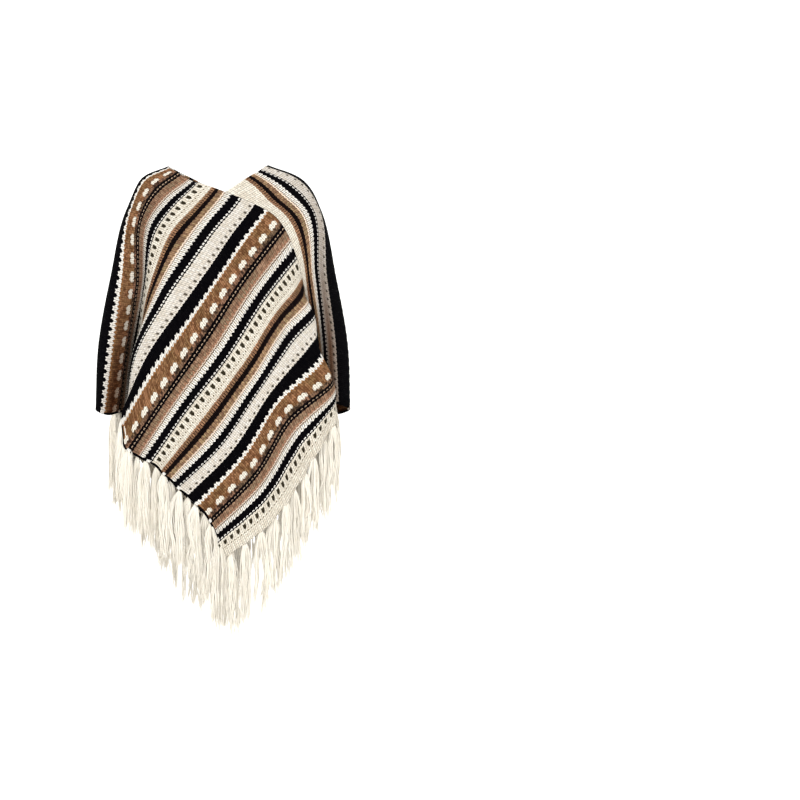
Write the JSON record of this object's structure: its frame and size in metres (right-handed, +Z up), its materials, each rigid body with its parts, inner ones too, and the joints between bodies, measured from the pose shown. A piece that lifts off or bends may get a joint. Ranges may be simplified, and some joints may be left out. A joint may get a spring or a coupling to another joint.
{
  "type": "knitted poncho sweater",
  "caption": "Striped chunky-knit poncho of two rectangles joined on the bias, with a V neck, a pointed hem and a yarn fringe, in its worn, hollow shape.",
  "frame": {"origin": "midway between the two corners of the neck opening, on the line of the shoulders that carry the garment", "axes": "+Z up, the front looks along -Y, +X to the right seen from the front"},
  "size_m": [0.5432, 0.2564, 1.0077],
  "materials": {
    "striped_knit": "matt chunky knit in cream, black, brown and tan stripes",
    "fringe_yarn": "matt off-white twisted yarn"
  },
  "bodies": {
    "root": {"panel_front": "striped_knit", "panel_back": "striped_knit", "fringe_front_long": "fringe_yarn", "fringe_front_end": "fringe_yarn", "fringe_back_long": "fringe_yarn", "fringe_back_end": "fringe_yarn"}
  },
  "joints": []
}
